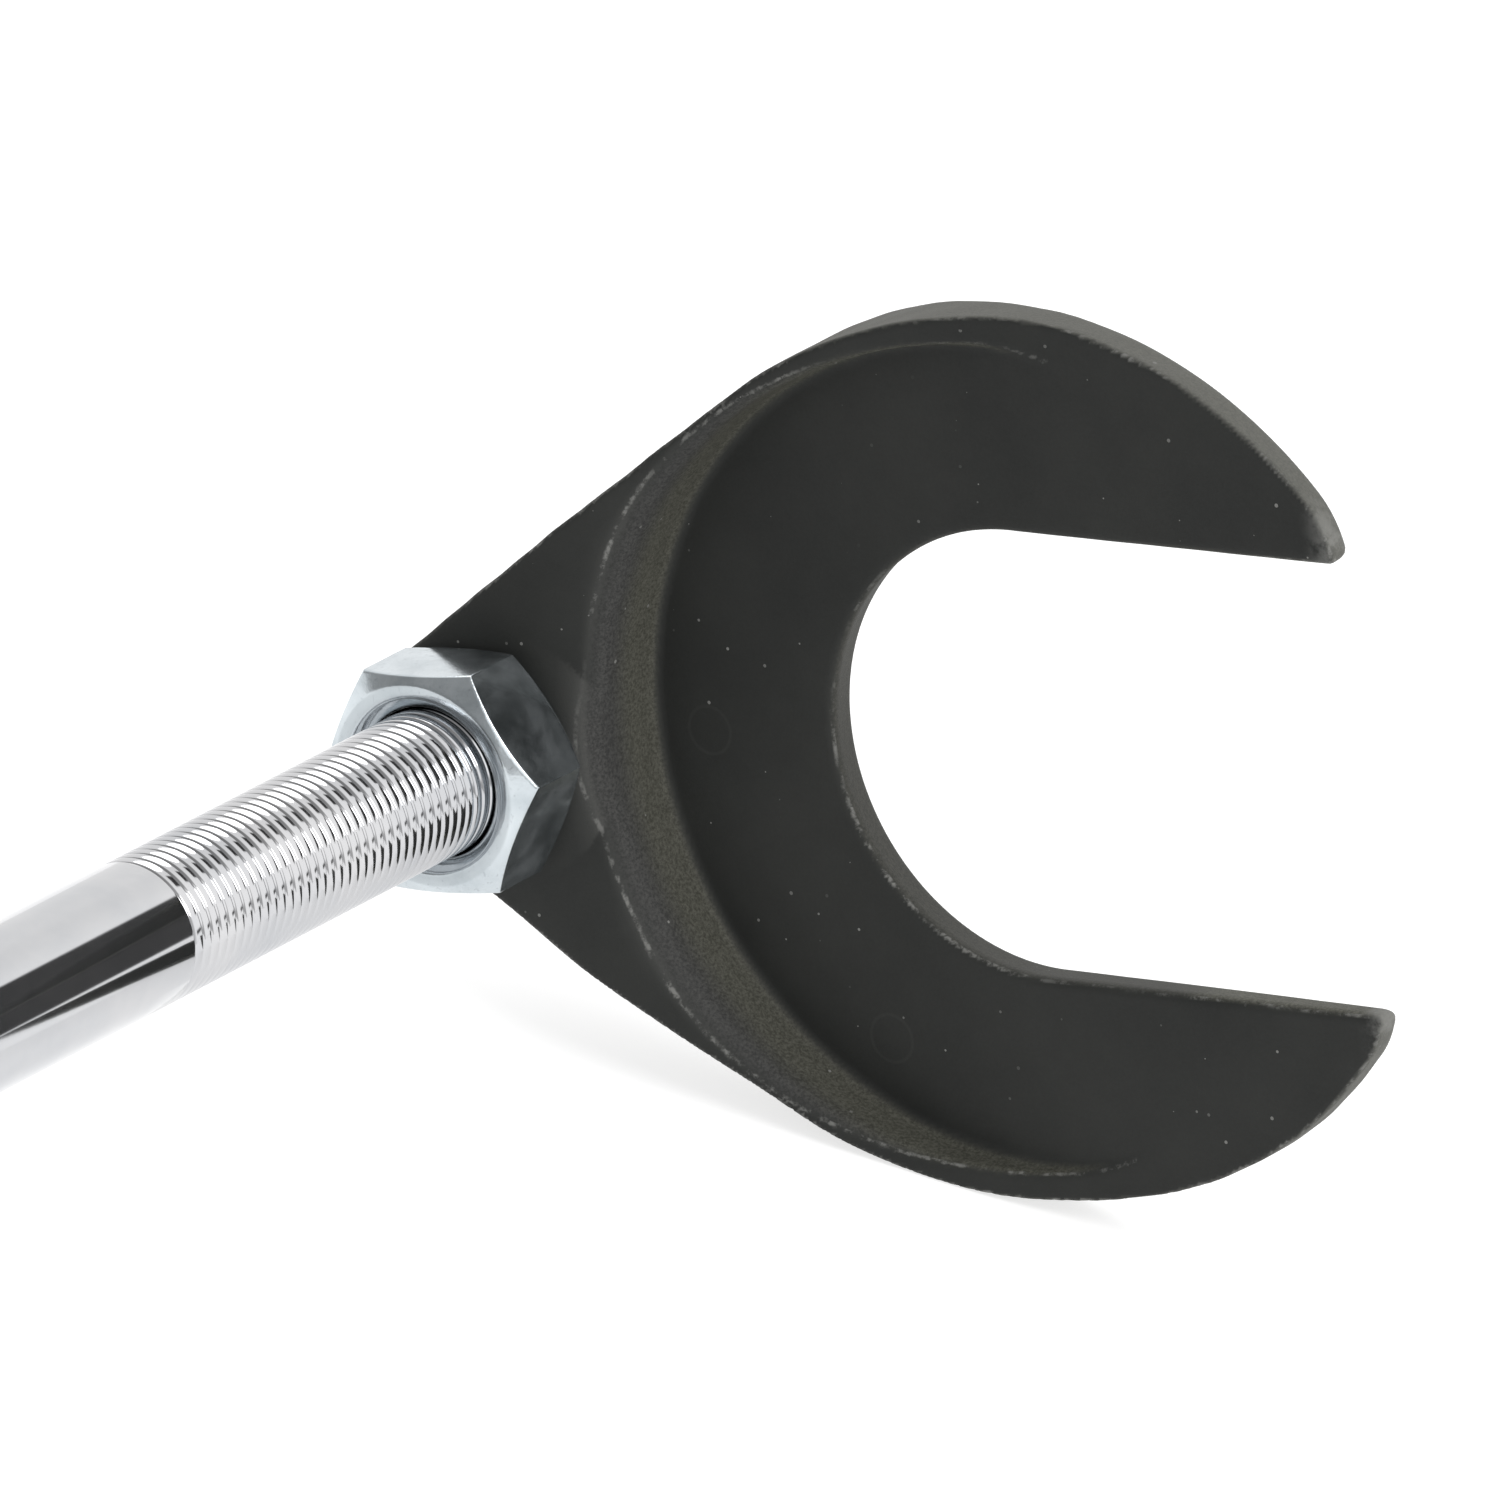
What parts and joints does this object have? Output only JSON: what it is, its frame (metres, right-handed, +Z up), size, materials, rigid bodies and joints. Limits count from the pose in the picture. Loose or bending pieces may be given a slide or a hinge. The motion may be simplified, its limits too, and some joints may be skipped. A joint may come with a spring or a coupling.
{
  "type": "ball joint separator",
  "caption": "Slide-hammer joint separator: black forged U fork with a stepped round seat on a chromed threaded rod, lock nut, sliding steel weight, anvil and T handle with a sliding bar.",
  "frame": {"origin": "on the rod's axis, in the plane of the fork's flat back face, where the rod's end is flush with it", "axes": "+X along the rod towards the fork, +Z up as the tool lies on its hammer collars and the fork's rim, -Y towards the fork's mouth"},
  "size_m": [0.572, 0.1838, 0.0965],
  "materials": {
    "black_forging": "matt black phosphated forging with a sandy grain and bare worn edges",
    "zinc_nut": "bluish bright zinc plating",
    "chromed_rod": "polished chrome plating",
    "blackened_steel": "turned steel, black oxide, lightly oiled",
    "black_rubber": "matt moulded rubber",
    "bronze_bush": "turned sintered bronze",
    "spring_steel": "tempered spring steel, satin",
    "black_screw": "black oxide, satin"
  },
  "bodies": {
    "rod_assembly": {"rod": "chromed_rod", "anvil": "blackened_steel", "anvil_grub_screw": "black_screw", "anvil_spring_washer": "spring_steel", "rear_nut": "zinc_nut", "handle_hub": "blackened_steel", "hub_roll_pin": "spring_steel", "detent_ball": "spring_steel", "detent_spring": "spring_steel", "detent_screw": "black_screw"},
    "fork": {"fork": "black_forging"},
    "lock_nut": {"lock_nut": "zinc_nut"},
    "hammer": {"hammer_weight": "blackened_steel", "hammer_sleeve": "black_rubber", "front_guide_bush": "bronze_bush", "rear_guide_bush": "bronze_bush", "front_circlip": "spring_steel", "rear_circlip": "spring_steel"},
    "bar": {"tommy_bar": "chromed_rod", "bar_cap_left": "blackened_steel", "bar_cap_right": "blackened_steel", "bar_ring_left": "black_rubber", "bar_ring_right": "black_rubber"}
  },
  "joints": [
    {"name": "hammer_slide", "type": "slide", "parent": "rod_assembly", "child": "hammer", "axis": [1, 0, 0], "range_m": [-0.1168, 0.1645]},
    {"name": "fork_turn", "type": "hinge", "parent": "rod_assembly", "child": "fork", "pos_m": [0, 0, 0], "axis": [1, 0, 0], "range_deg": [-180, 180]},
    {"name": "lock_nut_run", "type": "slide", "parent": "rod_assembly", "child": "lock_nut", "axis": [-1, 0, 0], "range_m": [0, 0.02]},
    {"name": "bar_slide", "type": "slide", "parent": "rod_assembly", "child": "bar", "axis": [0, 1, 0], "range_m": [-0.0455, 0.0455]}
  ]
}
